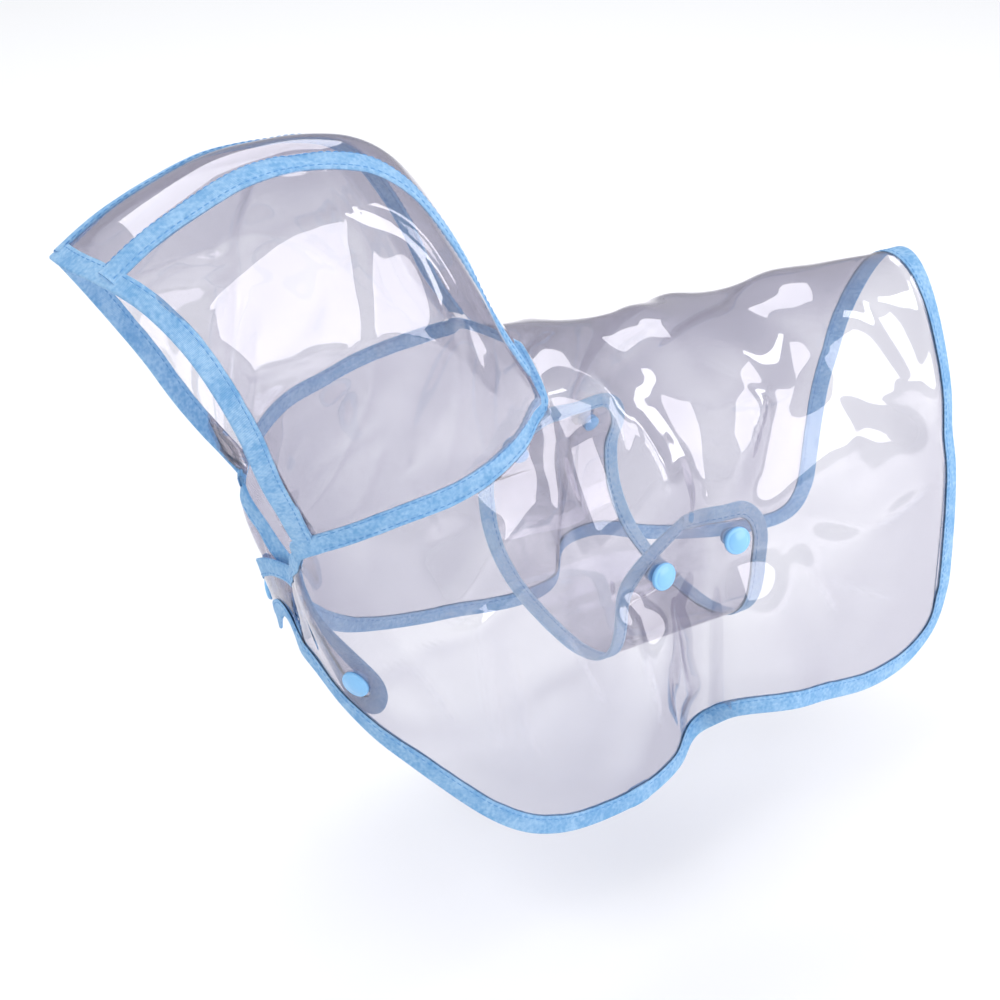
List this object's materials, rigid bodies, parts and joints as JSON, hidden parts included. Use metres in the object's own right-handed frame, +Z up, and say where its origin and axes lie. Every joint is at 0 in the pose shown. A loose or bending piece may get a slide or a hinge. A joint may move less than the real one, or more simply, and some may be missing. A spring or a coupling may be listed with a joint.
{
  "type": "dog raincoat",
  "caption": "Clear film dog raincoat in its worn shape: a cape with crossed chest arms, a three-piece hood, blue edge tape, belly strap and press snaps.",
  "frame": {"origin": "the inner side of the film at the withers, just behind the neck seam, where the wearer's back holds the coat up", "axes": "+X toward the tail, -X toward the head, -Y the wearer's left, +Z up"},
  "size_m": [0.4002, 0.1742, 0.3081],
  "materials": {
    "film": "gloss, clear",
    "tape": "matte",
    "snap": "gloss"
  },
  "bodies": {
    "root": {"cape": "film", "hood_side_left": "film", "hood_side_right": "film", "hood_crown": "film", "belly_strap": "film", "hem_tape": "tape", "neck_tape": "tape", "hood_face_tape": "tape", "crown_tape_left": "tape", "crown_tape_right": "tape", "belly_strap_tape": "tape", "snap_cap_left_flank_front": "snap", "snap_press_left_flank_front": "snap", "snap_back_left_flank_front": "snap", "snap_cap_right_flank_front": "snap", "snap_press_right_flank_front": "snap", "snap_back_right_flank_front": "snap", "snap_cap_left_flank_rear": "snap", "snap_press_left_flank_rear": "snap", "snap_back_left_flank_rear": "snap", "snap_cap_right_flank_rear": "snap", "snap_press_right_flank_rear": "snap", "snap_back_right_flank_rear": "snap", "snap_cap_left_chest": "snap", "snap_press_left_chest": "snap", "snap_back_left_chest": "snap", "snap_cap_right_chest": "snap", "snap_press_right_chest": "snap", "snap_back_right_chest": "snap"}
  },
  "joints": []
}
